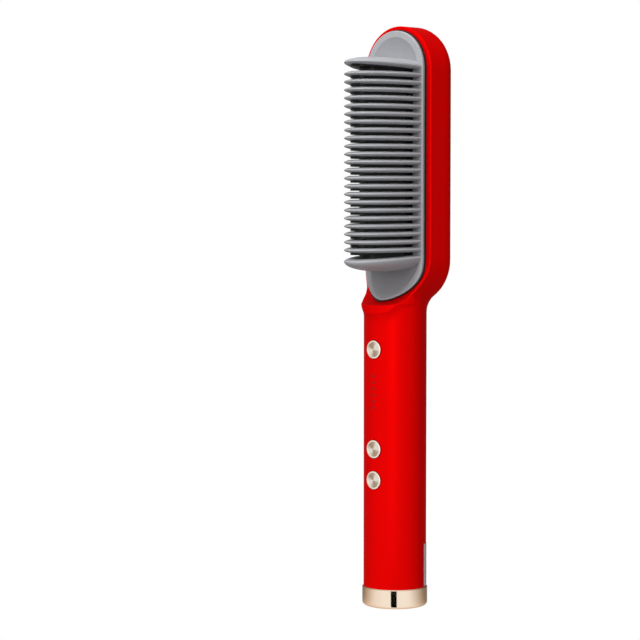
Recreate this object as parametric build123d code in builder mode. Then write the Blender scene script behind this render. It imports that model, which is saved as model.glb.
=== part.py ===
from build123d import *
import math
import os

os.makedirs("parts", exist_ok=True)

# ---------------------------------------------------------------------------
# Heated hair comb.  X runs across the comb face, the teeth point to -Y and
# +Z runs up the handle to the head.  The origin is on the handle's axis, in
# the plane of the end ring that the comb stands on.
# ---------------------------------------------------------------------------

# Overall form
TOTAL_HEIGHT = 280.0
HANDLE_R = 15.2
HANDLE_WALL = 2.1
HEAD_R = 21.5                     # half the width of the head
HEAD_LOW_Z = 168.0                # centre of the head's lower round end
HEAD_TOP_Z = TOTAL_HEIGHT - HEAD_R
FACE_Y = 1.4                      # plane of the comb face
BACK_Y = 20.7                     # flat back of the head
BACK_ROUND = 8.0
NECK_FILLET = 12.0
RIM_ROUND = 0.6
HEAD_WALL = 2.2
CAVITY_BACK_Y = 17.6

# The comb face sweeps forward to the handle's front along a quarter ellipse.
SCOOP_TOP_Z = 169.8
SCOOP_RISE = 17.0
SCOOP_DROP = 23.3
NECK_LIMIT_R = 16.5               # the neck's front stays inside this round
NECK_LIMIT_SPREAD = 50.0          # degrees either side of the front where the limit runs out
LIP_FORWARD = 1.0                 # the lip is a round set forward of the handle's axis
LIP_TOP_R = HANDLE_R + 0.3
LIP_Z = (143.4, 147.2)            # where it swells out of the handle
LIP_ABOVE = 8.0                   # its height above that, before the comb face cuts it
LIP_BACK = 3.0                    # it ends inside the neck, this far in front of the axis

# Comb cover
COVER_R = 18.35
COVER_TOP_Z = 259.4               # centre of its round upper end
COVER_LOW_Z = 164.5               # where its sides begin to close
COVER_TIP = 16.1                  # length of its pointed lower end
TIP_FULLNESS = (0.62, 0.38)       # pull of the lower end's curve at the side and at the tip
COVER_PROUD = 2.3                 # how far it stands out of the housing's rim
PROUD_LOW_SHARE = 0.45            # part of that left where the swept face turns level
COVER_EDGE = 2.4                  # depth to which it sits in the rebate
COVER_THICK = 3.6                 # depth of its body inside the ledge
COVER_STEP = 1.6                  # width that rests on the ledge
COVER_ROUND = 0.5
LEDGE_THICK = 1.5
GASKET_WIDTH = 0.5
GASKET_PROUD = 1.0

# Teeth: arched slices across the face, one heating fin under each
TOOTH_COUNT = 23
TOOTH_PITCH = 3.77                # where they leave the comb face
LOWEST_TOOTH_Z = 173.05
TOOTH_FAN = 0.0195                # degrees that a tooth leans per mm away from the middle one
TOOTH_HALF = 17.6
TOOTH_REACH = 32.3
TOOTH_THICK = 2.35
TOOTH_ROOT = 1.9                  # how deep its roots go into the cover's edge
TOOTH_BULGE = 2.7                 # half height of the flat ellipsoid that a tooth is sliced from
END_TOOTH_LEAN = 4.0
TOP_DOME = 4.2                    # height of the dome on each end tooth
LOW_DOME = 6.6
END_LOW_Z = LOWEST_TOOTH_Z - TOOTH_PITCH
END_TOP_Z = LOWEST_TOOTH_Z + TOOTH_COUNT * TOOTH_PITCH
TEETH_Z = [LOWEST_TOOTH_Z + i * TOOTH_PITCH for i in range(TOOTH_COUNT)]

# Heating comb
CORE_HALF = 11.3
CORE_REACH = 23.8
FIN_HALF = 11.8
FIN_REACH = 30.3
FIN_THICK = 0.95
FIN_GAP = 0.03                    # between a tooth and the fin under it
SLOT_HALF = 12.0                  # opening in the cover that the fins pass
SLOT_END_GAP = 0.25
PLATE_HALF = 16.0
PLATE_LOW_Z = 165.6
PLATE_TOP_Z = 262.5
PLATE_Y = (FACE_Y + COVER_THICK + 0.05, FACE_Y + COVER_THICK + 3.05)

# Back panel
PANEL_R = 12.4
TRIM_WIDTH = 0.8
PANEL_Y = (19.35, 20.9)

# Lower end
RING_R = 15.8
RING_HEIGHT = 9.4
RING_FLANGE = 2.2
RING_MOUTH_R = 11.8
SPIGOT_R = 14.1
PLUG_R = 12.85
PLUG_TOP_Z = 11.0
SWIVEL_R = 5.0
SWIVEL_FIT = 0.08
SWIVEL_SHOULDER_R = 6.5
SWIVEL_TOP_Z = 15.5
CORD_R = 3.1
END_SCREW_X = 9.6

# Controls on the handle's front
BUTTON_Z = {"power": 125.0, "plus": 77.0, "minus": 62.0}
BUTTON_R = 4.4
BUTTON_GAP = 0.25
BUTTON_FACE_Y = -15.45
BUTTON_FLANGE_Y = -11.5
BUTTON_TRAVEL = 0.5
LED_Z = [96.9 + 3.06 * i for i in range(6)]
LIGHT_PIN_R = 0.6

# Control board
BOARD_Y = (-4.6, -3.0)
BOARD_HALF = 11.4
BOARD_Z = (44.0, 140.0)
FRAME_R = 12.7
FRAME_Z = (14.5, 146.0)
BOARD_SCREWS = [(x, z) for x in (-8.2, 8.2) for z in (49.0, 135.0)]
SWITCH_SIZE = 6.0
SWITCH_FRONT_Y = BOARD_Y[0] - 3.5
PLUNGER_R = 1.7
PLUNGER_FRONT_Y = SWITCH_FRONT_Y - 0.9

COVER_SCREWS = [(0.0, 268.6), (-6.5, 160.8), (6.5, 160.8)]
BOSS_FRONT_Y = [4.0, 2.0, 2.0]    # where each cover screw's boss joins the cover
HEATER_SCREWS = [(x, z) for x in (-11.0, 11.0) for z in (167.6, 260.1)]
CLAMP_SCREWS = [(x, z) for x in (-12.9, 12.9) for z in (200.0, 228.0)]
SHIELD_POSTS = [(x, z) for x in (-14.0, 14.0) for z in (178.0, 250.0)]
TILE_Z = (186.0, 214.0, 242.0)
PANEL_PEGS = (180.0, 214.0, 248.0)


def save(part, name):
    part.label = name
    export_step(part, f"parts/{name}.step")


def front_plane(y):
    """Plane facing forwards at height y, with local x = X and local y = Z."""
    return Plane(origin=(0, y, 0), x_dir=(1, 0, 0), z_dir=(0, -1, 0))


def front_space(depth=0.0):
    """Everything in front of the swept rim face, moved back by depth, or forward if it is negative."""
    reach, above = 45.0, TOTAL_HEIGHT + 10
    drop = SCOOP_DROP + depth * (PROUD_LOW_SHARE if depth < 0 else 1)
    centre = (FACE_Y - SCOOP_RISE, SCOOP_TOP_Z)
    with BuildPart(mode=Mode.PRIVATE) as space:
        with BuildSketch(Plane.YZ):
            with BuildLine():
                sweep_line = EllipticalCenterArc(centre, SCOOP_RISE + depth, drop,
                                                 start_angle=-90, arc_size=90)
                Polyline(sweep_line @ 1, (FACE_Y + depth, above), (-reach, above),
                         (-reach, (sweep_line @ 0).Y), sweep_line @ 0)
            make_face()
        extrude(amount=HEAD_R + 10, both=True)
    return space.part


def face_prism(grow, front_y=-25.0, back_y=BACK_Y):
    """The comb cover's outline, grown all round, as a prism along Y."""
    half, tip = COVER_R + grow, COVER_TIP + grow
    side_pull, tip_pull = TIP_FULLNESS
    with BuildPart(mode=Mode.PRIVATE) as prism:
        with BuildSketch(front_plane(back_y)):
            with BuildLine():
                CenterArc((0, COVER_TOP_Z), half, 0, 180)
                for side in (half, -half):
                    Line((side, COVER_TOP_Z), (side, COVER_LOW_Z))
                    Bezier((side, COVER_LOW_Z), (side, COVER_LOW_Z - side_pull * tip),
                           (tip_pull * side, COVER_LOW_Z - tip), (0, COVER_LOW_Z - tip))
            make_face()
        extrude(amount=back_y - front_y)
    return prism.part


def stadium_prism(radius, front_y, back_y, round_back=0.0):
    """A stadium about the head's two centres, as a prism along Y."""
    with BuildPart(mode=Mode.PRIVATE) as prism:
        with BuildSketch(front_plane(back_y)):
            with Locations((0, (HEAD_TOP_Z + HEAD_LOW_Z) / 2)):
                SlotCenterToCenter(HEAD_TOP_Z - HEAD_LOW_Z, 2 * radius, rotation=90)
        extrude(amount=back_y - front_y)
        if round_back:
            fillet(prism.faces().sort_by(Axis.Y)[-1].edges(), round_back)
    return prism.part


def arch_sketch(half, reach, root):
    """Half an ellipse in front of the comb face with a straight root behind it, seen along the handle."""
    with BuildSketch(mode=Mode.PRIVATE) as outline:
        Ellipse(half, reach)
        Rectangle(2 * half, reach, align=(Align.CENTER, Align.MIN), mode=Mode.SUBTRACT)
        Rectangle(2 * half, root, align=(Align.CENTER, Align.MIN))
    return outline.sketch


def tooth_slice(bulge, low_z, high_z):
    """A slice between two heights of the ellipsoid that gives the teeth their leaf-shaped rims."""
    with BuildPart(mode=Mode.PRIVATE) as body:
        add(scale(Solid.make_sphere(1, angle1=-90), by=(TOOTH_HALF, TOOTH_REACH, bulge)))
        with Locations((0, TOOTH_ROOT, low_z)):
            Box(3 * TOOTH_HALF, 2 * TOOTH_REACH, high_z - low_z,
                align=(Align.CENTER, Align.MAX, Align.MIN), mode=Mode.INTERSECT)
    return body.part


def at_face(z, lean):
    """Place on the comb face at height z, turned up about the face by lean degrees."""
    return Location((0, FACE_Y, z), (-lean, 0, 0))


def fanned(z):
    return at_face(z, TOOTH_FAN * (z - (END_LOW_Z + END_TOP_Z) / 2))


def screw(shank_r, length, head_r, head_h):
    """Pan-head screw along Z: the head on top of z = 0, the shank below it."""
    with BuildPart(mode=Mode.PRIVATE) as body:
        Cylinder(shank_r, length, align=(Align.CENTER, Align.CENTER, Align.MAX))
        Cylinder(head_r, head_h, align=(Align.CENTER, Align.CENTER, Align.MIN))
        fillet(body.faces().sort_by(Axis.Z)[-1].edges(), head_h * 0.4)
        with Locations((0, 0, head_h)):
            Box(head_r * 1.1, head_r * 0.3, head_h * 0.6, mode=Mode.SUBTRACT)
            Box(head_r * 0.3, head_r * 1.1, head_h * 0.6, mode=Mode.SUBTRACT)
    return body.part


def lead(points, radius, bend):
    """A round wire through the points, with bends of one radius."""
    with BuildPart(mode=Mode.PRIVATE) as wire:
        with BuildLine() as path:
            FilletPolyline(*points, radius=bend)
        with BuildSketch(Plane(origin=path.line @ 0, z_dir=path.line % 0)):
            Circle(radius)
        sweep()
    return wire.part


# ---------------------------------------------------------------------------
# Housing shell: handle tube and head in one moulding, open at the comb face
# and at the bottom, with a shallow recess in the back for the panel.
# ---------------------------------------------------------------------------
with BuildPart() as cavity:
    add(stadium_prism(HEAD_R - HEAD_WALL, -20.0, CAVITY_BACK_Y, BACK_ROUND - HEAD_WALL))
    with BuildSketch(Plane.XY):
        Circle(HANDLE_R - HANDLE_WALL)
    extrude(amount=162.0)
    add(front_space(COVER_EDGE + LEDGE_THICK), mode=Mode.SUBTRACT)

with BuildPart() as rebate:
    add(face_prism(GASKET_WIDTH))
    add(front_space(COVER_EDGE + 0.05), mode=Mode.INTERSECT)

# The ledge that the comb cover's edge rests on has this opening.
with BuildPart() as ledge_opening:
    add(face_prism(0.15 - COVER_STEP))
    add(front_space(COVER_EDGE + LEDGE_THICK + 0.05), mode=Mode.INTERSECT)

# The neck's front is held close to the handle's own round, and a lip swells
# out of the handle where the comb face ends.
with BuildPart() as neck_limit:
    with BuildSketch(Plane.XY):
        with BuildLine():
            front = CenterArc((0, 0), NECK_LIMIT_R, -90 - NECK_LIMIT_SPREAD, 2 * NECK_LIMIT_SPREAD)
            right_run = Line(front @ 1, front @ 1 + front % 1 * 25)
            left_run = Line(front @ 0, front @ 0 - front % 0 * 25)
            Polyline(right_run @ 1, ((right_run @ 1).X, 30), ((left_run @ 1).X, 30), left_run @ 1)
        make_face()
    extrude(amount=TOTAL_HEIGHT)

with BuildPart() as lip:
    with Locations((0, -LIP_FORWARD, LIP_Z[0])):
        Cone(HANDLE_R - LIP_FORWARD, LIP_TOP_R, LIP_Z[1] - LIP_Z[0],
             align=(Align.CENTER, Align.CENTER, Align.MIN))
    with Locations((0, -LIP_FORWARD, LIP_Z[1])):
        Cylinder(LIP_TOP_R, LIP_ABOVE, align=(Align.CENTER, Align.CENTER, Align.MIN))
    add(front_space(0.05), mode=Mode.SUBTRACT)
    split(bisect_by=Plane.XZ.offset(LIP_BACK), keep=Keep.TOP)
    fillet([e for e in lip.edges() if e.geom_type not in (GeomType.LINE, GeomType.CIRCLE)], RIM_ROUND)

with BuildPart() as housing_shell:
    add(stadium_prism(HEAD_R, -20.0, BACK_Y, BACK_ROUND))
    with BuildSketch(Plane.XY.offset(RING_HEIGHT)):
        Circle(HANDLE_R)
    extrude(amount=180)
    fillet([e for e in housing_shell.edges()
            if e.geom_type == GeomType.BSPLINE and e.center().Z < HEAD_LOW_Z - 10], NECK_FILLET)
    add(neck_limit.part, mode=Mode.INTERSECT)
    add(front_space(), mode=Mode.SUBTRACT)
    face_edges = [e for f in housing_shell.faces() if abs(f.normal_at().X) < 0.01
                  for e in f.edges() if f.center().Y < FACE_Y + 0.1 and f.center().Z > 149]
    fillet([e for e in face_edges if e.geom_type != GeomType.LINE or e.length > 60], RIM_ROUND)
    add(lip.part)
    with BuildSketch(Plane.XY.offset(RING_FLANGE + 0.2)):
        Circle(SPIGOT_R)
    extrude(amount=RING_HEIGHT)
    add(cavity.part, mode=Mode.SUBTRACT)
    add(rebate.part, mode=Mode.SUBTRACT)
    add(ledge_opening.part, mode=Mode.SUBTRACT)
    # recess, screw holes and peg holes for the back panel
    add(stadium_prism(PANEL_R + TRIM_WIDTH + 0.05, PANEL_Y[0] - 0.05, BACK_Y + 1), mode=Mode.SUBTRACT)
    with Locations(*[Location((x, PANEL_Y[0] - 0.05, z), (-90, 0, 0)) for x, z in COVER_SCREWS]):
        CounterSinkHole(1.6, 2.8, depth=4)
    with Locations(*[Location((0, PANEL_Y[0], z), (-90, 0, 0)) for z in PANEL_PEGS]):
        Hole(1.6, depth=4)
    # button holes and the six pinholes of the light guide
    with BuildSketch(front_plane(-11.0)):
        with Locations(*[(0, z) for z in BUTTON_Z.values()]):
            Circle(BUTTON_R + BUTTON_GAP)
        with Locations(*[(0, z) for z in LED_Z]):
            Circle(LIGHT_PIN_R + 0.05)
    extrude(amount=6, mode=Mode.SUBTRACT)
    # posts that carry the heat shield
    with BuildSketch(front_plane(CAVITY_BACK_Y + 0.5)):
        with Locations(*SHIELD_POSTS):
            Circle(1.8)
    extrude(amount=3.3)
    with BuildSketch(front_plane(CAVITY_BACK_Y)):
        with Locations(*SHIELD_POSTS):
            Circle(0.8)
    extrude(amount=4.2)
save(housing_shell.part, "housing_shell")

# ---------------------------------------------------------------------------
# Comb cover: heat-insulating moulding with 23 arched teeth, a domed end tooth
# above and below them, shallow dishes at both ends and screw bosses behind.
# ---------------------------------------------------------------------------
with BuildPart() as tooth:
    add(tooth_slice(TOOTH_BULGE, -TOOTH_THICK / 2, TOOTH_THICK / 2))
    add(arch_sketch(CORE_HALF + 0.15, CORE_REACH + 0.15, COVER_THICK))
    extrude(amount=TOOTH_THICK, both=True, mode=Mode.SUBTRACT)

domed_teeth = []
for dome in (TOP_DOME, LOW_DOME):
    with BuildPart() as domed_tooth:
        add(tooth_slice(TOOTH_BULGE, -TOOTH_THICK / 2, 0))
        add(tooth_slice(dome, 0, dome))
    domed_teeth.append(domed_tooth.part)
top_end = at_face(END_TOP_Z, END_TOOTH_LEAN) * domed_teeth[0]
low_end = at_face(END_LOW_Z, -END_TOOTH_LEAN) * mirror(domed_teeth[1], Plane.XY)

DISH_SPHERE_R = 31.5
DISH_DEPTH = 3.8
LOW_DISH = (29.0, 18.4, 23.5)     # half axes of the ellipsoid below the low end tooth
LOW_DISH_Z = SCOOP_TOP_Z + 2

# Shallow dishes beyond the end teeth: a sphere above, and below an ellipsoid
# that follows the swept face and dies out before its tip.
with BuildPart() as top_dish:
    with Locations((0, FACE_Y - COVER_PROUD - DISH_SPHERE_R + DISH_DEPTH, END_TOP_Z)):
        Sphere(DISH_SPHERE_R)
    split(bisect_by=Plane.XY.offset(END_TOP_Z), keep=Keep.TOP)

with BuildPart() as low_dish:
    add(Pos(0, FACE_Y - SCOOP_RISE, LOW_DISH_Z) * scale(Solid.make_sphere(1, angle1=-90), by=LOW_DISH))
    split(bisect_by=Plane.XY.offset(END_LOW_Z), keep=Keep.BOTTOM)

with BuildPart() as cover_core:
    add(face_prism(-COVER_STEP))
    add(front_space(COVER_THICK), mode=Mode.INTERSECT)

with BuildPart() as comb_cover:
    add(face_prism(0))
    add(front_space(COVER_EDGE), mode=Mode.INTERSECT)
    add(cover_core.part)
    add(front_space(-COVER_PROUD), mode=Mode.SUBTRACT)
    fillet([e for f in comb_cover.faces() if abs(f.normal_at().X) < 0.01 and f.normal_at().Y < -0.01
            for e in f.edges() if e.geom_type != GeomType.LINE or e.length > 60], COVER_ROUND)
    add(top_dish.part, mode=Mode.SUBTRACT)
    add(low_dish.part, mode=Mode.SUBTRACT)
    # opening for the heating comb
    with BuildSketch(front_plane(FACE_Y + COVER_THICK + 1)):
        with Locations((0, (END_LOW_Z + END_TOP_Z) / 2)):
            Rectangle(2 * SLOT_HALF, END_TOP_Z - END_LOW_Z - TOOTH_THICK + 2 * SLOT_END_GAP)
    extrude(amount=COVER_THICK + COVER_PROUD + 2, mode=Mode.SUBTRACT)
    with Locations(*[fanned(z) for z in TEETH_Z]):
        add(tooth.part)
    add(top_end)
    add(low_end)
    # bosses for the cover screws, pilot holes for them and for the heater screws
    for place, front_y in zip(COVER_SCREWS, BOSS_FRONT_Y):
        with BuildSketch(front_plane(CAVITY_BACK_Y - 0.05)):
            with Locations(place):
                Circle(3.0)
        extrude(amount=CAVITY_BACK_Y - 0.05 - front_y)
    with BuildSketch(front_plane(CAVITY_BACK_Y)):
        with Locations(*COVER_SCREWS):
            Circle(1.5)
    extrude(amount=11, mode=Mode.SUBTRACT)
    with BuildSketch(front_plane(FACE_Y + COVER_THICK + 1)):
        with Locations(*HEATER_SCREWS):
            Circle(1.3)
    extrude(amount=1 + 2.6, mode=Mode.SUBTRACT)
save(comb_cover.part, "comb_cover")

# ---------------------------------------------------------------------------
# Cover gasket: black rubber ring between the cover's edge and the rebate.
# ---------------------------------------------------------------------------
with BuildPart() as cover_gasket:
    add(face_prism(GASKET_WIDTH - 0.04))
    add(front_space(COVER_EDGE), mode=Mode.INTERSECT)
    add(front_space(-GASKET_PROUD), mode=Mode.SUBTRACT)
    add(face_prism(0.02), mode=Mode.SUBTRACT)
save(cover_gasket.part, "cover_gasket")

# ---------------------------------------------------------------------------
# Heating comb: one aluminium casting with a black ceramic coat.  A round
# shouldered core runs the length of the comb; a thin fin stands on it under
# each tooth, and a flat plate behind takes the heat in.
# ---------------------------------------------------------------------------
core_end = TOOTH_THICK / 2 + FIN_GAP
fin_places = [fanned(z) for z in TEETH_Z] + [at_face(END_TOP_Z, END_TOOTH_LEAN)]

with BuildPart() as core_bar:
    add(Pos(0, FACE_Y, END_LOW_Z - 1) * arch_sketch(CORE_HALF, CORE_REACH, COVER_THICK + 0.2))
    extrude(amount=END_TOP_Z - END_LOW_Z + 4)
    for end_z, lean, side in ((END_TOP_Z, END_TOOTH_LEAN, -1), (END_LOW_Z, -END_TOOTH_LEAN, 1)):
        slope = math.tan(math.radians(lean))
        split(bisect_by=Plane(origin=(0, FACE_Y, end_z + side * core_end), z_dir=(0, slope, 1)),
              keep=Keep.BOTTOM if side < 0 else Keep.TOP)

with BuildPart() as heater_comb:
    add(core_bar.part)
    for place in fin_places:
        add(place * Pos(0, 0, -core_end - FIN_THICK) * arch_sketch(FIN_HALF, FIN_REACH, COVER_THICK + 0.2))
        extrude(amount=FIN_THICK)
    with BuildSketch(front_plane(PLATE_Y[1])):
        with Locations((0, (PLATE_LOW_Z + PLATE_TOP_Z) / 2)):
            RectangleRounded(2 * PLATE_HALF, PLATE_TOP_Z - PLATE_LOW_Z, 3)
    extrude(amount=PLATE_Y[1] - PLATE_Y[0])
    with BuildSketch(front_plane(PLATE_Y[1] + 2.7)):
        with Locations(*CLAMP_SCREWS):
            Circle(2.5)
    extrude(amount=2.8)
    with BuildSketch(front_plane(PLATE_Y[1] + 3)):
        with Locations(*CLAMP_SCREWS):
            Circle(1.3)
    extrude(amount=5.2, mode=Mode.SUBTRACT)
    with BuildSketch(front_plane(PLATE_Y[1] + 1)):
        with Locations(*HEATER_SCREWS):
            Circle(1.35)
    extrude(amount=6, mode=Mode.SUBTRACT)
save(heater_comb.part, "heater_comb")

# Screws that hold the heating comb's plate to the back of the cover
with BuildPart() as heater_screws:
    with Locations(*[Location((x, PLATE_Y[1] + 0.02, z), (-90, 0, 0)) for x, z in HEATER_SCREWS]):
        add(screw(1.25, 5.4, 2.2, 1.6))
save(heater_screws.part, "heater_screws")

# ---------------------------------------------------------------------------
# Heating stack behind the plate: film, ceramic tiles, clamping plate, screws
# ---------------------------------------------------------------------------
FILM_THICK = 0.2
TILE_THICK = 2.4
TILE_SIZE = (19.0, 24.0)
film_y = PLATE_Y[1] + 0.03
tile_y = film_y + FILM_THICK + 0.02
clamp_y = tile_y + TILE_THICK + 0.05

with BuildPart() as insulating_film:
    with BuildSketch(front_plane(film_y + FILM_THICK)):
        with Locations((0, TILE_Z[1])):
            Rectangle(20.4, 86)
    extrude(amount=FILM_THICK)
save(insulating_film.part, "insulating_film")

with BuildPart() as ptc_heaters:
    with BuildSketch(front_plane(tile_y + TILE_THICK)):
        with Locations(*[(0, z) for z in TILE_Z]):
            RectangleRounded(*TILE_SIZE, 0.8)
    extrude(amount=TILE_THICK)
save(ptc_heaters.part, "ptc_heaters")

with BuildPart() as pressure_plate:
    with BuildSketch(front_plane(clamp_y + 1.2)):
        with Locations((0, TILE_Z[1])):
            RectangleRounded(20, 84, 2)
            RectangleRounded(31, 36, 3)
        with Locations(*CLAMP_SCREWS):
            Circle(1.4, mode=Mode.SUBTRACT)
    extrude(amount=1.2)
save(pressure_plate.part, "pressure_plate")

with BuildPart() as clamp_screws:
    with Locations(*[Location((x, clamp_y + 1.22, z), (-90, 0, 0)) for x, z in CLAMP_SCREWS]):
        add(screw(1.25, 5.5, 2.2, 1.2))
save(clamp_screws.part, "clamp_screws")

# Bead thermistor between two tiles, thermal cut-out clipped on the plate
with BuildPart() as thermistor:
    with Locations(Location((0, tile_y + 1.1, (TILE_Z[0] + TILE_Z[1]) / 2), (0, 90, 0))):
        Cylinder(1.0, 5.0)
    fillet(thermistor.edges(), 0.6)
save(thermistor.part, "thermistor")

with BuildPart() as thermal_fuse:
    with Locations(Location((0, clamp_y + 1.25 + 1.1, 222.0), (0, 90, 0))):
        Cylinder(1.05, 9.0)
        Cylinder(0.35, 15.0)
save(thermal_fuse.part, "thermal_fuse")

with BuildPart() as heat_shield:
    with BuildSketch(front_plane(CAVITY_BACK_Y - 2.82)):
        with Locations((0, TILE_Z[1])):
            RectangleRounded(34, 92, 8)
        with Locations(*SHIELD_POSTS):
            Circle(0.9, mode=Mode.SUBTRACT)
        with Locations((0, 164.0)):
            Rectangle(12, 20, mode=Mode.SUBTRACT)
    extrude(amount=0.5)
save(heat_shield.part, "heat_shield")

# ---------------------------------------------------------------------------
# Back of the head: countersunk screws into the cover's bosses, and the panel
# with its bright trim ring that hides them.
# ---------------------------------------------------------------------------
with BuildPart() as cover_screws:
    with Locations(*[Location((x, PANEL_Y[0] - 0.1, z), (-90, 0, 0)) for x, z in COVER_SCREWS]):
        Cylinder(1.45, 11.5, align=(Align.CENTER, Align.CENTER, Align.MAX))
        Cone(1.45, 2.6, 1.15, align=(Align.CENTER, Align.CENTER, Align.MAX))
save(cover_screws.part, "cover_screws")

with BuildPart() as back_panel:
    add(stadium_prism(PANEL_R, PANEL_Y[0], PANEL_Y[1] - 0.15, 0.3))
    with BuildSketch(front_plane(PANEL_Y[0] + 0.1)):
        with Locations(*[(0, z) for z in PANEL_PEGS]):
            Circle(1.5)
    extrude(amount=1.6)
save(back_panel.part, "back_panel")

with BuildPart() as back_trim_ring:
    add(stadium_prism(PANEL_R + TRIM_WIDTH, PANEL_Y[0], PANEL_Y[1], 0.3))
    add(stadium_prism(PANEL_R + 0.04, PANEL_Y[0] - 1, PANEL_Y[1] + 1), mode=Mode.SUBTRACT)
save(back_trim_ring.part, "back_trim_ring")

# Blank rating label wrapped round the back of the handle above the end ring
LABEL_HALF_ANGLE = 69.0
LABEL_Z = (RING_HEIGHT + 0.4, RING_HEIGHT + 21.0)
with BuildPart() as rating_label:
    with BuildSketch(Plane.XY.offset(LABEL_Z[0])):
        with BuildLine():
            inner = CenterArc((0, 0), HANDLE_R + 0.02, 90 - LABEL_HALF_ANGLE, 2 * LABEL_HALF_ANGLE)
            outer = CenterArc((0, 0), HANDLE_R + 0.17, 90 - LABEL_HALF_ANGLE, 2 * LABEL_HALF_ANGLE)
            Line(inner @ 0, outer @ 0)
            Line(inner @ 1, outer @ 1)
        make_face()
    extrude(amount=LABEL_Z[1] - LABEL_Z[0])
save(rating_label.part, "rating_label")

# ---------------------------------------------------------------------------
# Lower end: metal ring over the housing's spigot, plug, cord swivel and clip
# ---------------------------------------------------------------------------
with BuildPart() as end_ring:
    with BuildSketch(Plane.XZ):
        with BuildLine():
            Polyline((RING_MOUTH_R, 0), (RING_R, 0), (RING_R, RING_HEIGHT), (SPIGOT_R + 0.05, RING_HEIGHT),
                     (SPIGOT_R + 0.05, RING_FLANGE), (RING_MOUTH_R, RING_FLANGE), close=True)
        make_face()
    revolve(axis=Axis.Z)
    low_rim = end_ring.edges().filter_by(GeomType.CIRCLE).filter_by(
        lambda e: abs(e.radius - RING_R) < 0.01).sort_by(Axis.Z)
    fillet(low_rim[0], 1.8)
    chamfer(end_ring.edges().filter_by(GeomType.CIRCLE).filter_by(
        lambda e: abs(e.radius - RING_R) < 0.01).sort_by(Axis.Z)[-1], 0.4)
save(end_ring.part, "end_ring")

with BuildPart() as end_plug:
    with BuildSketch(Plane.XY.offset(0.6)):
        Circle(RING_MOUTH_R - 0.1)
    extrude(amount=3)
    fillet(end_plug.edges().sort_by(Axis.Z)[0], 0.4)
    with BuildSketch(Plane.XY.offset(RING_FLANGE + 0.05)):
        Circle(PLUG_R)
    extrude(amount=PLUG_TOP_Z - RING_FLANGE - 0.05)
    with BuildSketch(Plane.XY.offset(4.5)):
        Circle(PLUG_R - 1.6)
        Circle(SWIVEL_R + 1.8, mode=Mode.SUBTRACT)
        with Locations((-END_SCREW_X, 0), (END_SCREW_X, 0)):
            Circle(2.6, mode=Mode.SUBTRACT)
    extrude(amount=10, mode=Mode.SUBTRACT)
    with BuildSketch(Plane.XY):
        Circle(SWIVEL_SHOULDER_R + 0.1)
    extrude(amount=2.6, mode=Mode.SUBTRACT)
    with BuildSketch(Plane.XY):
        Circle(SWIVEL_R + SWIVEL_FIT)
        with Locations((-END_SCREW_X, 0), (END_SCREW_X, 0)):
            Circle(1.35)
    extrude(amount=20, mode=Mode.SUBTRACT)
    with BuildSketch(Plane.XY):
        with Locations((-END_SCREW_X, 0), (END_SCREW_X, 0)):
            Circle(2.0)
    extrude(amount=2.4, mode=Mode.SUBTRACT)
save(end_plug.part, "end_plug")

with BuildPart() as end_screws:
    with Locations(*[Location((x, 0, 2.4), (180, 0, 0)) for x in (-END_SCREW_X, END_SCREW_X)]):
        add(screw(1.25, 15.5, 1.9, 1.3))
save(end_screws.part, "end_screws")

with BuildPart() as swivel_bush:
    with BuildSketch(Plane.XY.offset(0.3)):
        Circle(SWIVEL_SHOULDER_R)
    extrude(amount=2.2)
    fillet(swivel_bush.edges().sort_by(Axis.Z)[0], 0.5)
    with BuildSketch(Plane.XY.offset(2.0)):
        Circle(SWIVEL_R)
    extrude(amount=SWIVEL_TOP_Z - 2.0)
    with BuildSketch(Plane.XY.offset(PLUG_TOP_Z + 0.25)):
        Circle(SWIVEL_R + 1)
        Circle(SWIVEL_R - 0.7, mode=Mode.SUBTRACT)
    extrude(amount=0.9, mode=Mode.SUBTRACT)
    with BuildSketch(Plane.XY):
        Circle(CORD_R)
    extrude(amount=20, mode=Mode.SUBTRACT)
    chamfer(swivel_bush.edges().filter_by(GeomType.CIRCLE).filter_by(
        lambda e: abs(e.radius - CORD_R) < 0.01).sort_by(Axis.Z)[0], 0.6)
save(swivel_bush.part, "swivel_bush")

with BuildPart() as swivel_clip:
    with BuildSketch(Plane.XY.offset(PLUG_TOP_Z + 0.3)):
        Circle(SWIVEL_R + 1.8)
        Circle(SWIVEL_R - 0.66, mode=Mode.SUBTRACT)
        with Locations((0, SWIVEL_R)):
            Rectangle(3.0, 8.0, mode=Mode.SUBTRACT)
    extrude(amount=0.8)
save(swivel_clip.part, "swivel_clip")

# ---------------------------------------------------------------------------
# Inner frame: half tube behind the control board, screwed to the end plug
# ---------------------------------------------------------------------------
with BuildPart() as inner_frame:
    with BuildSketch(Plane.XY.offset(FRAME_Z[0])):
        Circle(FRAME_R)
        Circle(FRAME_R - 1.5, mode=Mode.SUBTRACT)
        with Locations((0, BOARD_Y[1] + 0.05 - 20)):
            Rectangle(40, 40, mode=Mode.SUBTRACT)
    extrude(amount=FRAME_Z[1] - FRAME_Z[0])
    with BuildSketch(Plane.XY.offset(FRAME_Z[0])):
        Circle(FRAME_R)
        Circle(SWIVEL_R + 2.0, mode=Mode.SUBTRACT)
    extrude(amount=2.5)
    with BuildSketch(Plane.XY.offset(PLUG_TOP_Z + 0.05)):
        with Locations((-END_SCREW_X, 0), (END_SCREW_X, 0)):
            Circle(2.5)
    extrude(amount=14)
    with BuildSketch(front_plane(7.5)):
        with Locations(*BOARD_SCREWS):
            Circle(2.2)
    extrude(amount=7.5 - BOARD_Y[1] - 0.05)
    with BuildSketch(front_plane(5.5)):
        with Locations(*BOARD_SCREWS):
            Circle(1.0)
    extrude(amount=20, mode=Mode.SUBTRACT)
    with BuildSketch(Plane.XY):
        with Locations((-END_SCREW_X, 0), (END_SCREW_X, 0)):
            Circle(1.3)
    extrude(amount=19.5, mode=Mode.SUBTRACT)
save(inner_frame.part, "inner_frame")

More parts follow.
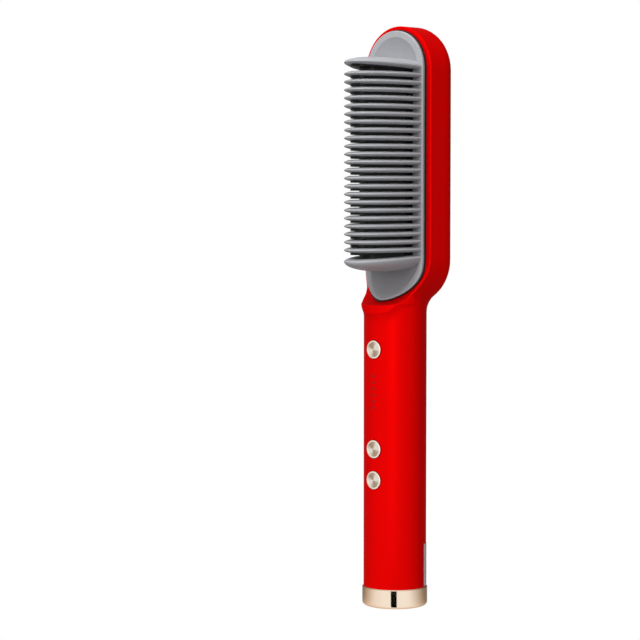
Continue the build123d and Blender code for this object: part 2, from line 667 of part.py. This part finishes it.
# ---------------------------------------------------------------------------
# Control board and what is soldered to it
# ---------------------------------------------------------------------------
with BuildPart() as control_board:
    with BuildSketch(front_plane(BOARD_Y[1])):
        with Locations((0, sum(BOARD_Z) / 2)):
            RectangleRounded(2 * BOARD_HALF, BOARD_Z[1] - BOARD_Z[0], 1.5)
        with Locations(*BOARD_SCREWS):
            Circle(1.2, mode=Mode.SUBTRACT)
    extrude(amount=BOARD_Y[1] - BOARD_Y[0])
save(control_board.part, "control_board")

with BuildPart() as board_screws:
    with Locations(*[Location((x, BOARD_Y[0] - 0.02, z), (90, 0, 0)) for x, z in BOARD_SCREWS]):
        add(screw(0.95, 6.5, 1.9, 1.2))
save(board_screws.part, "board_screws")

with BuildPart() as tact_switches:
    for z in BUTTON_Z.values():
        with BuildSketch(front_plane(BOARD_Y[0] - 0.02)):
            with Locations((0, z)):
                RectangleRounded(SWITCH_SIZE, SWITCH_SIZE, 0.6)
        extrude(amount=BOARD_Y[0] - 0.02 - SWITCH_FRONT_Y)
        with BuildSketch(front_plane(SWITCH_FRONT_Y + 2.2)):
            with Locations((0, z)):
                Circle(PLUNGER_R + 0.1)
        extrude(amount=3, mode=Mode.SUBTRACT)
save(tact_switches.part, "tact_switches")

for key, z in BUTTON_Z.items():
    with BuildPart() as plunger:
        with BuildSketch(front_plane(SWITCH_FRONT_Y + 1.5)):
            with Locations((0, z)):
                Circle(PLUNGER_R)
        extrude(amount=SWITCH_FRONT_Y + 1.5 - PLUNGER_FRONT_Y)
        fillet(plunger.edges().sort_by(Axis.Y)[0], 0.3)
    save(plunger.part, f"{key}_plunger")

    # Plated cap with a raised rim, a flange that holds it in and a stem
    with BuildPart() as button:
        with BuildSketch(front_plane(BUTTON_FLANGE_Y)):
            with Locations((0, z)):
                Circle(BUTTON_R)
        extrude(amount=BUTTON_FLANGE_Y - BUTTON_FACE_Y)
        fillet(button.edges().sort_by(Axis.Y)[0], 0.35)
        with BuildSketch(front_plane(BUTTON_FACE_Y + 0.18)):
            with Locations((0, z)):
                Circle(BUTTON_R - 0.75)
        extrude(amount=1, mode=Mode.SUBTRACT)
        with BuildSketch(front_plane(BUTTON_FLANGE_Y + 0.8)):
            with Locations((0, z)):
                Circle(BUTTON_R + 0.7)
        extrude(amount=0.8)
        with BuildSketch(front_plane(PLUNGER_FRONT_Y - 0.02)):
            with Locations((0, z)):
                Circle(1.6)
        extrude(amount=PLUNGER_FRONT_Y - 0.02 - BUTTON_FLANGE_Y)
    save(button.part, f"{key}_button")

with BuildPart() as leds:
    with BuildSketch(front_plane(BOARD_Y[0] - 0.02)):
        with Locations(*[(0, z) for z in LED_Z]):
            Rectangle(1.2, 2.0)
    extrude(amount=0.7)
save(leds.part, "leds")

# One clear moulding: a bar behind the wall, six pins out and six stubs in
with BuildPart() as light_guide:
    with BuildSketch(front_plane(-9.8)):
        with Locations((0, (LED_Z[0] + LED_Z[-1]) / 2)):
            RectangleRounded(3.4, LED_Z[-1] - LED_Z[0] + 4, 1.2)
    extrude(amount=1.6)
    with BuildSketch(front_plane(-5.5)):
        with Locations(*[(0, z) for z in LED_Z]):
            Circle(0.9)
    extrude(amount=5)
    with BuildSketch(front_plane(-10.5)):
        with Locations(*[(0, z) for z in LED_Z]):
            Circle(LIGHT_PIN_R)
    extrude(amount=HANDLE_R - 0.02 - 10.5)
save(light_guide.part, "light_guide")

# Plain parts on the board: name, centre (x, z), width, height, depth; those
# with a positive depth stand on the back of the board, the others in front.
board_blocks = {
    "microcontroller": ((0, 87.0), 5.0, 6.2, -1.6),
    "film_capacitor": ((-3.6, 112.0), 6.0, 15.0, 9.5),
    "triac": ((4.6, 120.0), 4.4, 10.0, 8.0),
    "wire_terminals": ((0, 54.0), 9.0, 7.0, 6.5),
}
for name, ((x, z), width, height, depth) in board_blocks.items():
    start = BOARD_Y[1] + 0.02 + depth if depth > 0 else BOARD_Y[0] - 0.02
    with BuildPart() as block:
        with BuildSketch(front_plane(start)):
            with Locations((x, z)):
                Rectangle(width, height)
        extrude(amount=abs(depth))
        chamfer(block.edges().filter_by(Axis.Y), 0.4)
    save(block.part, name)

with BuildPart() as electrolytic_capacitor:
    with Locations(Location((0, BOARD_Y[1] + 0.02, 94.0), (-90, 0, 0))):
        Cylinder(4.0, 10.5, align=(Align.CENTER, Align.CENTER, Align.MIN))
    fillet(electrolytic_capacitor.edges().sort_by(Axis.Y)[-1], 0.5)
save(electrolytic_capacitor.part, "electrolytic_capacitor")

with BuildPart() as mains_fuse:
    with Locations((4.4, BOARD_Y[1] + 2.8, 74.0)):
        Cylinder(2.2, 11.0)
        with Locations((0, 0, -7), (0, 0, 7)):
            Cylinder(2.5, 4.5)
save(mains_fuse.part, "mains_fuse")

# ---------------------------------------------------------------------------
# Wires: two from the cord swivel to the terminals, two on to the heating
# tiles and two thin ones to the thermistor.
# ---------------------------------------------------------------------------
with BuildPart() as mains_leads:
    for side in (-1, 1):
        add(lead([(side * 1.2, 0.3, SWIVEL_TOP_Z + 0.2), (side * 1.2, 0.3, 30), (side * 2.4, 1.2, 42),
                  (side * 2.4, 1.2, 50.4)], 0.8, 6))
save(mains_leads.part, "mains_leads")

with BuildPart() as heater_leads:
    for side in (-1, 1):
        add(lead([(side * 3.2, -1.8, 127.0), (side * 3.2, 2.5, 135.0), (side * 2.6, 8.2, 150.0),
                  (side * 2.6, 9.6, 164.0), (side * 2.6, tile_y + 1.2, 173.8)], 0.7, 6))
save(heater_leads.part, "heater_leads")

with BuildPart() as sensor_leads:
    for side in (-1, 1):
        add(lead([(side * 1.2, BOARD_Y[1] + 0.4, 136.0), (side * 1.2, 6.0, 148.0),
                  (side * 1.2, 13.3, 166.0), (side * 1.2, 13.3, 190.0)], 0.35, 5))
save(sensor_leads.part, "sensor_leads")
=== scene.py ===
import math

import bmesh
import bpy
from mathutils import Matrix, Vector


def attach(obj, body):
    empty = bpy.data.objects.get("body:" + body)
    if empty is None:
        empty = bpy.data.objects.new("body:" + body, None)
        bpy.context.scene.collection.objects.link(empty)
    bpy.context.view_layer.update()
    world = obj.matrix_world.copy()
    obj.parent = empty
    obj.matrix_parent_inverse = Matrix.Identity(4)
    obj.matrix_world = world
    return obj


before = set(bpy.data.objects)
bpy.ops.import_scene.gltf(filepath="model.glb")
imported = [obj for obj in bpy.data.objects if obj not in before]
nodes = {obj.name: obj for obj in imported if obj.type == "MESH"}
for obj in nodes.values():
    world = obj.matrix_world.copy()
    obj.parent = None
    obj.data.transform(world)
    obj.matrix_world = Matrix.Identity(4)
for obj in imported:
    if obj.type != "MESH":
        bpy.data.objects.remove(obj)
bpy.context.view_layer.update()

# Heated hair comb standing on its end ring: a red handle and head, a grey comb over a black
# heating comb, three turned metal buttons and a rose-gold ring at the lower end.
# The comb's teeth point to -Y, X runs across it and Z up it.
scene = bpy.context.scene
MM = 0.001


# --------------------------------------------------------------------------------------------
# Camera: a long lens that stands 45 degrees round from the comb's front, so the teeth point
# to the picture's left.  It is level with the comb's upper teeth and tips down a little.
# --------------------------------------------------------------------------------------------
VIEW_ANGLE = math.radians(45)
PICTURE_PIXELS = 640
FOCAL_PIXELS = 2200
SENSOR = 36.0
CAMERA_DISTANCE = 1.063
CAMERA_HEIGHT = 0.197
TARGET_LEFT = 0.0364            # the comb stands this far right of the picture's middle
TARGET_HEIGHT = 0.1386

towards_camera = Vector((math.sin(VIEW_ANGLE), -math.cos(VIEW_ANGLE), 0))
picture_right = Vector((math.cos(VIEW_ANGLE), math.sin(VIEW_ANGLE), 0))
target = -picture_right * TARGET_LEFT + Vector((0, 0, TARGET_HEIGHT))
camera_data = bpy.data.cameras.new("camera")
camera_data.sensor_width = SENSOR
camera_data.lens = SENSOR * FOCAL_PIXELS / PICTURE_PIXELS
camera = bpy.data.objects.new("camera", camera_data)
camera.location = target + towards_camera * CAMERA_DISTANCE
camera.location.z = CAMERA_HEIGHT
camera.rotation_euler = (target - camera.location).to_track_quat("-Z", "Y").to_euler()
scene.collection.objects.link(camera)
scene.camera = camera
scene.view_settings.view_transform = "Standard"


# --------------------------------------------------------------------------------------------
# Studio: a pale floor, a white room, four soft boxes and a tall one that draws the satin line
# down the handle.  Room and floor are bright in front of the comb and dimmer behind it, which
# is what the metal ring shows along its sides.  From below the floor is clear.
# --------------------------------------------------------------------------------------------
# Each box: turn to the camera's left and rise in degrees, distance, width and height in metres,
# watts, and whether it is seen in reflections.
SOFT_BOXES = {
    "key_box": (4, 24, 1.4, 0.6, 1.0, 3.9, False),
    "left_box": (84, 30, 1.4, 0.8, 1.2, 3.0, False),
    "top_box": (44, 49, 1.4, 0.9, 0.9, 12.6, False),
    "over_box": (5, 82, 1.3, 0.7, 0.7, 8.0, False),
    "satin_box": (9, 6, 1.4, 0.44, 1.5, 4.3, True),
}
FRONT_TURN = 12                 # degrees to the left, where room and floor are brightest
ROOM_FALL = {"From Min": -1.0, "From Max": 0.5, "To Min": 0.2, "To Max": 0.98}
ROOM_LIGHT = 0.06               # what the room adds to matt surfaces
FLOOR_FALL = {"From Min": -0.5, "From Max": 0.6, "To Min": 0.35, "To Max": 0.95}
FLOOR_GREY = 0.35               # what matt surfaces receive of the floor
FLOOR_WIDTH = 40
FLOOR_Z = -0.05 * MM


def direction(turn, rise):
    """Unit vector at turn degrees to the left of the camera's side and rise degrees up."""
    angle = VIEW_ANGLE - math.radians(turn)
    flat = Vector((math.sin(angle), -math.cos(angle), 0)) * math.cos(math.radians(rise))
    return flat + Vector((0, 0, math.sin(math.radians(rise))))


def new_node(tree, kind, values=None, **settings):
    """Adds a shader node with its settings and with values on its own sockets."""
    node = tree.nodes.new(kind)
    for name, value in settings.items():
        setattr(node, name, value)
    for socket, value in (values or {}).items():
        node.inputs[socket].default_value = value
    return node


def wire(tree, *links):
    """Makes links, each given as node, output, node, input."""
    for giver, output, taker, socket in links:
        tree.links.new(giver.outputs[output], taker.inputs[socket])


def mesh_object(name, bm):
    """Turns a finished bmesh into an object of this name."""
    mesh = bpy.data.meshes.new(name)
    bm.to_mesh(mesh)
    bm.free()
    item = bpy.data.objects.new(name, mesh)
    scene.collection.objects.link(item)
    return item


comb_middle = Vector((0, 0, TARGET_HEIGHT))
for name, (turn, rise, distance, width, height, watts, mirrored) in SOFT_BOXES.items():
    lamp_data = bpy.data.lights.new(name, "AREA")
    lamp_data.shape = "RECTANGLE"
    lamp_data.size = width
    lamp_data.size_y = height
    lamp_data.energy = watts
    lamp = bpy.data.objects.new(name, lamp_data)
    lamp.location = comb_middle + direction(turn, rise) * distance
    lamp.rotation_euler = (comb_middle - lamp.location).to_track_quat("-Z", "Y").to_euler()
    lamp.visible_camera = False
    lamp.visible_glossy = mirrored
    scene.collection.objects.link(lamp)

world = bpy.data.worlds.new("studio")
scene.world = world
world.use_nodes = True
tree = world.node_tree
background = tree.nodes["Background"]
background.inputs["Color"].default_value = (1, 1, 1, 1)
coords = new_node(tree, "ShaderNodeTexCoord")
facing = new_node(tree, "ShaderNodeVectorMath", {1: direction(FRONT_TURN, 0)}, operation="DOT_PRODUCT")
room = new_node(tree, "ShaderNodeMapRange", ROOM_FALL, interpolation_type="SMOOTHSTEP")
rays = new_node(tree, "ShaderNodeLightPath")
shiny = new_node(tree, "ShaderNodeMix", {"A": ROOM_LIGHT})
seen = new_node(tree, "ShaderNodeMix", {"B": 1.0})
wire(tree,
     (coords, "Generated", facing, 0),
     (facing, "Value", room, "Value"),
     (rays, "Is Glossy Ray", shiny, "Factor"),
     (room, "Result", shiny, "B"),
     (rays, "Is Camera Ray", seen, "Factor"),
     (shiny, "Result", seen, "A"),
     (seen, "Result", background, "Strength"))

bm = bmesh.new()
bmesh.ops.create_grid(bm, x_segments=1, y_segments=1, size=FLOOR_WIDTH / 2)
floor = mesh_object("floor", bm)
floor.location.z = FLOOR_Z
floor_paint = bpy.data.materials.new("floor_paint")
floor_paint.use_nodes = True
tree = floor_paint.node_tree
tree.nodes.remove(tree.nodes["Principled BSDF"])
place = new_node(tree, "ShaderNodeTexCoord")
way = new_node(tree, "ShaderNodeVectorMath", operation="NORMALIZE")
ahead = new_node(tree, "ShaderNodeVectorMath", {1: direction(FRONT_TURN, 0)}, operation="DOT_PRODUCT")
fall = new_node(tree, "ShaderNodeMapRange", FLOOR_FALL)
rays = new_node(tree, "ShaderNodeLightPath")
seen = new_node(tree, "ShaderNodeMix", {"B": 1.0})
glow = new_node(tree, "ShaderNodeEmission")
matt = new_node(tree, "ShaderNodeBsdfDiffuse", {"Color": (FLOOR_GREY, FLOOR_GREY, FLOOR_GREY, 1)})
bounced = new_node(tree, "ShaderNodeMath", operation="MAXIMUM")
sees_glow = new_node(tree, "ShaderNodeMath", operation="MAXIMUM")
above = new_node(tree, "ShaderNodeMixShader")
geometry = new_node(tree, "ShaderNodeNewGeometry")
clear = new_node(tree, "ShaderNodeBsdfTransparent")
both_sides = new_node(tree, "ShaderNodeMixShader")
wire(tree,
     (place, "Object", way, 0),
     (way, "Vector", ahead, 0),
     (ahead, "Value", fall, "Value"),
     (rays, "Is Camera Ray", seen, "Factor"),
     (fall, "Result", seen, "A"),
     (seen, "Result", glow, "Strength"),
     (rays, "Is Glossy Ray", bounced, 0),
     (rays, "Is Transmission Ray", bounced, 1),
     (bounced, "Value", sees_glow, 0),
     (rays, "Is Camera Ray", sees_glow, 1),
     (sees_glow, "Value", above, 0),
     (matt, 0, above, 1),
     (glow, 0, above, 2),
     (geometry, "Backfacing", both_sides, 0),
     (above, 0, both_sides, 1),
     (clear, 0, both_sides, 2),
     (both_sides, 0, tree.nodes["Material Output"], "Surface"))
floor.data.materials.append(floor_paint)

# A black strip that lies on the floor and widens away from the ring: the dark upright line that
# the metal ring reflects.  It is seen in reflections only.
STRIP_FRONT = 16.4 * MM
STRIP_LENGTH = 62 * MM
STRIP_EDGES = ((2.5 * MM, 16.0), (-0.6 * MM, -5.0))   # how far left at the ring, and turn
STRIP_BLACK = (0.002, 0.002, 0.002, 1)

bm = bmesh.new()
near = [towards_camera * STRIP_FRONT - picture_right * offset for offset, turn in STRIP_EDGES]
far = [start + direction(turn, 0) * STRIP_LENGTH for start, (offset, turn) in zip(near, STRIP_EDGES)]
bm.faces.new([bm.verts.new(corner) for corner in (near[0], far[0], far[1], near[1])])
strip = mesh_object("black_strip", bm)
strip_black = bpy.data.materials.new("strip_black")
strip_black.use_nodes = True
shader = strip_black.node_tree.nodes["Principled BSDF"]
shader.inputs["Base Color"].default_value = STRIP_BLACK
shader.inputs["Roughness"].default_value = 1.0
shader.inputs["Specular IOR Level"].default_value = 0.0
strip.data.materials.append(strip_black)
strip.visible_camera = False
strip.visible_diffuse = False
strip.visible_shadow = False
strip.visible_transmission = False


# --------------------------------------------------------------------------------------------
# Housing: handle and head in one ABS moulding, sprayed with a satin metallic red.  The paint
# has a fine orange peel and is a little shinier where hands have rubbed it.
# --------------------------------------------------------------------------------------------
GRAIN_DETAIL = 3.0
MARKS_DETAIL = 4.0
MARKS_SPAN = {"From Min": 0.3, "From Max": 0.7}       # the middle of a noise's range
RED = (0.86, 0.0012, 0.001)
RED_WORN = (0.80, 0.001, 0.001)
RED_SHEEN = (1, 0.05, 0.04, 1)


def make_group(name, inputs, output):
    """A shader node group with float inputs and one float output, and its two end nodes."""
    group = bpy.data.node_groups.new(name, "ShaderNodeTree")
    for label, default in inputs.items():
        socket = group.interface.new_socket(label, in_out="INPUT", socket_type="NodeSocketFloat")
        socket.default_value = default
    group.interface.new_socket(output, in_out="OUTPUT", socket_type="NodeSocketFloat")
    return group, group.nodes.new("NodeGroupInput"), group.nodes.new("NodeGroupOutput")


# fine_grain: even fine texture of a sprayed or moulded skin, as a bump height
grain_group, start, end = make_group("fine_grain", {"Scale": 2000.0}, "Height")
source = new_node(grain_group, "ShaderNodeTexCoord")
fine = new_node(grain_group, "ShaderNodeTexNoise", {"Detail": GRAIN_DETAIL})
wire(grain_group,
     (source, "Object", fine, "Vector"),
     (start, "Scale", fine, "Scale"),
     (fine, "Fac", end, "Height"))

# hand_marks: slow change of a value between two limits, as touch leaves on a finish
marks_group, start, end = make_group("hand_marks", {"Scale": 60.0, "Low": 0.4, "High": 0.5}, "Value")
source = new_node(marks_group, "ShaderNodeTexCoord")
slow = new_node(marks_group, "ShaderNodeTexNoise", {"Detail": MARKS_DETAIL})
span = new_node(marks_group, "ShaderNodeMapRange", MARKS_SPAN)
wire(marks_group,
     (source, "Object", slow, "Vector"),
     (start, "Scale", slow, "Scale"),
     (slow, "Fac", span, "Value"),
     (start, "Low", span, "To Min"),
     (start, "High", span, "To Max"),
     (span, "Result", end, "Value"))


class Finish:
    """A Principled material whose fixed values sit on the shader's own sockets."""

    def __init__(self, name, colour, **values):
        self.material = bpy.data.materials.new(name)
        self.material.use_nodes = True
        self.tree = self.material.node_tree
        self.shader = self.tree.nodes["Principled BSDF"]
        self.colour = colour
        self.shader.inputs["Base Color"].default_value = (*colour, 1)
        for socket, value in values.items():
            self.shader.inputs[socket.replace("_", " ")].default_value = value

    def group(self, group, **values):
        """Places a node group with its own values."""
        return new_node(self.tree, "ShaderNodeGroup", values, node_tree=group)

    def grain(self, scale, depth_mm):
        """Fine bump all over."""
        skin = self.group(grain_group, Scale=scale)
        bump = new_node(self.tree, "ShaderNodeBump", {"Strength": 1.0, "Distance": depth_mm * MM})
        wire(self.tree, (skin, "Height", bump, "Height"), (bump, "Normal", self.shader, "Normal"))
        return self

    def marks(self, scale, low, high):
        """Roughness that changes slowly over the surface."""
        touch = self.group(marks_group, Scale=scale, Low=low, High=high)
        wire(self.tree, (touch, "Value", self.shader, "Roughness"))
        return self

    def blend(self, giver, output, low, high):
        """Base colour that goes from one colour to another by a node's output."""
        ends = {"A": (*low, 1), "B": (*high, 1)}
        mix = new_node(self.tree, "ShaderNodeMix", ends, data_type="RGBA")
        wire(self.tree, (giver, output, mix, "Factor"), (mix, "Result", self.shader, "Base Color"))
        return self

    def tint(self, scale, other, amount):
        """Base colour that drifts a little towards another colour."""
        drift = self.group(marks_group, Scale=scale, Low=0.0, High=amount)
        return self.blend(drift, "Value", self.colour, other)

    def on(self, *names):
        """Gives the finish to CAD nodes or to new pieces."""
        for name in names:
            item = nodes.get(name) or bpy.data.objects[name]
            item.data.materials.clear()
            item.data.materials.append(self.material)
        return self


red_paint = Finish("satin_red", RED, Metallic=0.48, Specular_IOR_Level=0.02, Specular_Tint=RED_SHEEN)
red_paint.tint(scale=25.0, other=RED_WORN, amount=0.6).marks(scale=90.0, low=0.40, high=0.46)
red_paint.grain(scale=2600.0, depth_mm=0.004).on("housing_shell", "back_panel")


# --------------------------------------------------------------------------------------------
# Comb cover: heat-resistant nylon in one grey moulding with 23 arched teeth.  It has the fine
# matt skin of a spark-eroded mould.  A black rubber gasket lies between it and the housing.
# --------------------------------------------------------------------------------------------
GREY = (0.40, 0.405, 0.425)
GREY_DARK = (0.375, 0.38, 0.40)
grey_nylon = Finish("grey_nylon", GREY, Specular_IOR_Level=0.5)
grey_nylon.tint(scale=120.0, other=GREY_DARK, amount=0.5).marks(scale=200.0, low=0.38, high=0.48)
grey_nylon.grain(scale=3500.0, depth_mm=0.006).on("comb_cover")

rubber = Finish("black_rubber", (0.012, 0.012, 0.013), Specular_IOR_Level=0.3)
rubber.marks(scale=300.0, low=0.5, high=0.65).grain(scale=3000.0, depth_mm=0.01).on("cover_gasket")


# --------------------------------------------------------------------------------------------
# Heating comb: one aluminium casting with a glossy black ceramic coat on its core and fins.
# It is screwed to the back of the comb cover.
# --------------------------------------------------------------------------------------------
black_coat = Finish("black_ceramic", (0.004, 0.004, 0.004), Specular_IOR_Level=0.12)
black_coat.marks(scale=250.0, low=0.16, high=0.26).grain(scale=900.0, depth_mm=0.004).on("heater_comb")


# --------------------------------------------------------------------------------------------
# End ring, back trim and buttons: turned and polished metal.  The two rings are anodised rose
# gold, painted darker and browner where they are seen at a glancing angle, a painted shade; the
# buttons are plated.
# --------------------------------------------------------------------------------------------
GOLD = (0.95, 0.79, 0.63)
GOLD_PAINTED_SHADE = (0.62, 0.33, 0.14)
GLANCE_SPAN = {"From Min": 0.08, "From Max": 0.7}
rose_gold = Finish("rose_gold", GOLD, Metallic=1.0)
# Painted shade: the base colour darkens to brown as the ring's surface turns edge-on to the camera.
glance = new_node(rose_gold.tree, "ShaderNodeLayerWeight", {"Blend": 0.5})
painted_edge_shade = new_node(rose_gold.tree, "ShaderNodeMapRange", GLANCE_SPAN)
wire(rose_gold.tree, (glance, "Facing", painted_edge_shade, "Value"))
rose_gold.blend(painted_edge_shade, "Result", GOLD, GOLD_PAINTED_SHADE)
rose_gold.marks(scale=120.0, low=0.05, high=0.09).on("end_ring", "back_trim_ring")

plated = Finish("plated_metal", (0.97, 0.91, 0.80), Metallic=1.0)
plated.marks(scale=400.0, low=0.18, high=0.26).on("power_button", "plus_button", "minus_button")


# --------------------------------------------------------------------------------------------
# Button inlays: thin plated discs, faced on a lathe and pressed into the buttons' recesses.
# The concentric tool lines are cut in the mesh; the fans of light and dark they spread are painted
# into the base colour, a painted reflection.
# --------------------------------------------------------------------------------------------
INLAY_R = 3.6 * MM
INLAY_BACK_Y = -15.265 * MM
INLAY_THICK = 0.06 * MM
INLAY_STEPS = 96
INLAY_Z = {"power_key": 125.0 * MM, "plus_key": 77.0 * MM, "minus_key": 62.0 * MM}
INLAY_PAINTED_SHADE = (0.46, 0.32, 0.22)
INLAY_PAINTED_HIGHLIGHT = (0.96, 0.87, 0.76)
TOOL_LINES = 20
TOOL_LINE_DEPTH = 0.01 * MM
SHARP_ANGLE = math.radians(9)
WELD = 0.0001 * MM
STREAK_DETAIL = 3.0
STREAK_SHARE = 3.2              # how far the streaks shift the edges of the fans
FAN_EDGE = {"From Min": 0.7, "From Max": 2.5}


def turned_disc(name, height):
    """A disc facing -Y at this height, its face cut with concentric tool lines."""
    front = INLAY_BACK_Y - INLAY_THICK
    profile = [(0.0, front)]
    for line in range(TOOL_LINES):
        middle = INLAY_R * (line + 0.5) / TOOL_LINES
        profile += [(middle, front + TOOL_LINE_DEPTH), (INLAY_R * (line + 1) / TOOL_LINES, front)]
    profile += [(INLAY_R, INLAY_BACK_Y), (0.0, INLAY_BACK_Y)]
    bm = bmesh.new()
    face_map = bm.loops.layers.uv.new("face_map")
    corners = [bm.verts.new((radius, y, height)) for radius, y in profile]
    edges = [bm.edges.new(pair) for pair in zip(corners, corners[1:])]
    bmesh.ops.spin(bm, geom=corners + edges, cent=(0, 0, height), axis=(0, 1, 0),
                   angle=2 * math.pi, steps=INLAY_STEPS)
    bmesh.ops.remove_doubles(bm, verts=bm.verts, dist=WELD)
    bmesh.ops.recalc_face_normals(bm, faces=bm.faces)
    for face in bm.faces:
        face.smooth = True
        for loop in face.loops:
            loop[face_map].uv = (loop.vert.co.x / INLAY_R, (loop.vert.co.z - height) / INLAY_R)
    disc = mesh_object(name, bm)
    disc.data.set_sharp_from_angle(angle=SHARP_ANGLE)
    return disc


# painted_reflection_fans: painted light and dark reflection sectors about the middle of a face map,
# with fine radial streaks
painted_fans_group, start, end = make_group("painted_reflection_fans", {"Fans": 2.0, "Phase": 0.0, "Streaks": 9.0}, "Mask")
face_map = new_node(painted_fans_group, "ShaderNodeUVMap", uv_map="face_map")
sector = new_node(painted_fans_group, "ShaderNodeTexGradient", gradient_type="RADIAL")
turns = new_node(painted_fans_group, "ShaderNodeMath", operation="MULTIPLY_ADD")
angle = new_node(painted_fans_group, "ShaderNodeMath", {1: 2 * math.pi}, operation="MULTIPLY")
swing = new_node(painted_fans_group, "ShaderNodeMath", operation="SINE")
ray = new_node(painted_fans_group, "ShaderNodeVectorMath", operation="NORMALIZE")
streak = new_node(painted_fans_group, "ShaderNodeTexNoise", {"Detail": STREAK_DETAIL})
sum_up = new_node(painted_fans_group, "ShaderNodeMath", {1: STREAK_SHARE}, operation="MULTIPLY_ADD")
edge = new_node(painted_fans_group, "ShaderNodeMapRange", FAN_EDGE, interpolation_type="SMOOTHSTEP")
wire(painted_fans_group,
     (face_map, "UV", sector, "Vector"),
     (face_map, "UV", ray, 0),
     (ray, "Vector", streak, "Vector"),
     (start, "Streaks", streak, "Scale"),
     (sector, "Fac", turns, 0),
     (start, "Fans", turns, 1),
     (start, "Phase", turns, 2),
     (turns, "Value", angle, 0),
     (angle, "Value", swing, 0),
     (streak, "Fac", sum_up, 0),
     (swing, "Value", sum_up, 2),
     (sum_up, "Value", edge, "Value"),
     (edge, "Result", end, "Mask"))

turned = Finish("turned_metal", INLAY_PAINTED_HIGHLIGHT, Metallic=1.0, Anisotropic=0.75)
turned.marks(scale=500.0, low=0.18, high=0.26)
# Painted reflection: the base colour runs between a painted shade and a painted highlight colour in
# fans about the middle.
painted_fans = turned.group(painted_fans_group, Fans=2.0, Phase=0.1, Streaks=9.0)
turned.blend(painted_fans, "Mask", INLAY_PAINTED_SHADE, INLAY_PAINTED_HIGHLIGHT)
around = new_node(turned.tree, "ShaderNodeTangent", direction_type="RADIAL", axis="Y")
wire(turned.tree, (around, "Tangent", turned.shader, "Tangent"))
for key, height in INLAY_Z.items():
    inlay = turned_disc(key.replace("key", "inlay"), height)
    turned.on(inlay.name)
    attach(inlay, key)


# --------------------------------------------------------------------------------------------
# Light guide and label: smoked clear pins that end flush with the handle, and a blank printed
# film label wrapped round the handle's back.
# --------------------------------------------------------------------------------------------
smoked = Finish("smoked_clear", (0.008, 0.026, 0.026), Specular_IOR_Level=0.15)
smoked.marks(scale=500.0, low=0.2, high=0.3).on("light_guide")

paper = Finish("label_film", (0.72, 0.75, 0.76), Specular_IOR_Level=0.4)
paper.marks(scale=300.0, low=0.35, high=0.45).grain(scale=1500.0, depth_mm=0.003).on("rating_label")


# --------------------------------------------------------------------------------------------
# Lower end and insides: glass-filled nylon plug, swivel and frame, zinc-plated screws, and the
# board and heating stack that the housing hides.
# --------------------------------------------------------------------------------------------
dark = Finish("dark_nylon", (0.025, 0.025, 0.027), Specular_IOR_Level=0.4)
dark.marks(scale=200.0, low=0.45, high=0.6).grain(scale=2500.0, depth_mm=0.01)
dark.on("end_plug", "swivel_bush", "inner_frame", "tact_switches", "power_plunger", "plus_plunger",
        "minus_plunger", "microcontroller", "triac", "wire_terminals", "electrolytic_capacitor")

steel = Finish("zinc_steel", (0.62, 0.62, 0.61), Metallic=1.0)
steel.marks(scale=300.0, low=0.25, high=0.4).grain(scale=1500.0, depth_mm=0.003)
steel.on("heater_screws", "clamp_screws", "cover_screws", "board_screws", "end_screws", "swivel_clip",
         "pressure_plate", "thermal_fuse")

ceramic = Finish("fired_ceramic", (0.7, 0.66, 0.6))
ceramic.marks(scale=200.0, low=0.5, high=0.7).grain(scale=1200.0, depth_mm=0.01)
ceramic.on("ptc_heaters", "thermistor", "mains_fuse", "leds")

mask = Finish("solder_mask", (0.01, 0.12, 0.04))
mask.marks(scale=200.0, low=0.3, high=0.4).on("control_board")
film = Finish("polyimide", (0.55, 0.26, 0.03))
film.marks(scale=100.0, low=0.25, high=0.35).on("insulating_film", "film_capacitor")
mica = Finish("mica_sheet", (0.55, 0.47, 0.33))
mica.marks(scale=60.0, low=0.3, high=0.5).on("heat_shield")
sleeve = Finish("silicone_sleeve", (0.6, 0.6, 0.58))
sleeve.marks(scale=150.0, low=0.5, high=0.6).on("mains_leads", "heater_leads", "sensor_leads")
